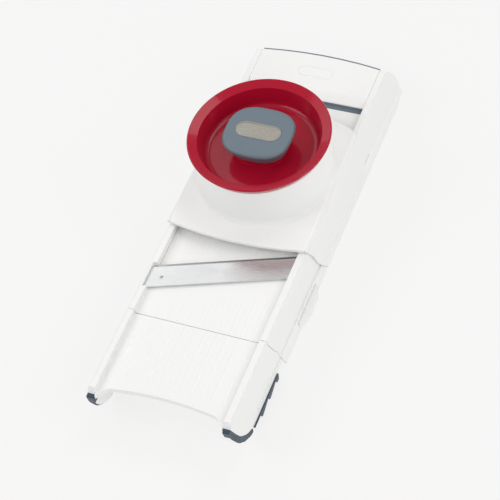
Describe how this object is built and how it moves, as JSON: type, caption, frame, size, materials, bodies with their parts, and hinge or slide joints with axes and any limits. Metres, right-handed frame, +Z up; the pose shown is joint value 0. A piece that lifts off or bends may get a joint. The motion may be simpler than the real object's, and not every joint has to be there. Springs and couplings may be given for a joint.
{
  "type": "mandoline slicer",
  "caption": "Hand-held slicer: slanted steel blade in a fluted white trough, food carriage sliding on its rails, red food pusher with a soft knob, rubber toes and a handle.",
  "frame": {"origin": "on the resting plane, midway across the body and midway between the toes and the heels", "axes": "+Z up out of the trough, +Y from the toes to the handle, +X across the body to the right"},
  "size_m": [0.1322, 0.3814, 0.1022],
  "materials": {
    "white_plastic": "moulded, satin gloss",
    "red_plastic": "moulded, glossy",
    "grey_soft": "soft-touch",
    "dark_rubber": "matt",
    "blade_steel": "ground and polished",
    "nickel": "satin nickel",
    "screw_steel": "zinc plated"
  },
  "bodies": {
    "root": {"rear_frame": "white_plastic", "handle_cover": "white_plastic", "handle_grip": "grey_soft", "handle_screws": "screw_steel", "blade_cartridge": "white_plastic", "run_up_plate": "white_plastic", "run_up_screws": "screw_steel", "blade": "blade_steel", "blade_pins": "screw_steel", "push_nuts": "screw_steel", "foot_section": "white_plastic", "foot_screws": "screw_steel", "toe_left": "dark_rubber", "toe_right": "dark_rubber", "bowl_strip_left": "dark_rubber", "bowl_strip_right": "dark_rubber", "latch_spring_left": "screw_steel", "latch_spring_right": "screw_steel"},
    "carriage": {"carriage_body": "white_plastic"},
    "pusher": {"pusher_cup": "red_plastic", "pusher_knob": "grey_soft", "badge": "nickel", "pusher_plate": "white_plastic", "food_pins": "screw_steel", "pusher_screw": "screw_steel"},
    "latch_left": {"latch_left": "white_plastic"},
    "latch_right": {"latch_right": "white_plastic"}
  },
  "joints": [
    {"name": "carriage_slide", "type": "slide", "parent": "root", "child": "carriage", "axis": [0, 1, 0], "range_m": [-0.15, 0.012]},
    {"name": "pusher_slide", "type": "slide", "parent": "carriage", "child": "pusher", "axis": [0, 0, 1], "range_m": [0, 0.036]},
    {"name": "latch_left_press", "type": "slide", "parent": "root", "child": "latch_left", "axis": [1, 0, 0], "range_m": [0, 0.0025], "stiffness_N_per_m": 800, "springref_m": -0.004, "deforming": ["latch_spring_left"]},
    {"name": "latch_right_press", "type": "slide", "parent": "root", "child": "latch_right", "axis": [-1, 0, 0], "range_m": [0, 0.0025], "stiffness_N_per_m": 800, "springref_m": -0.004, "deforming": ["latch_spring_right"]}
  ]
}
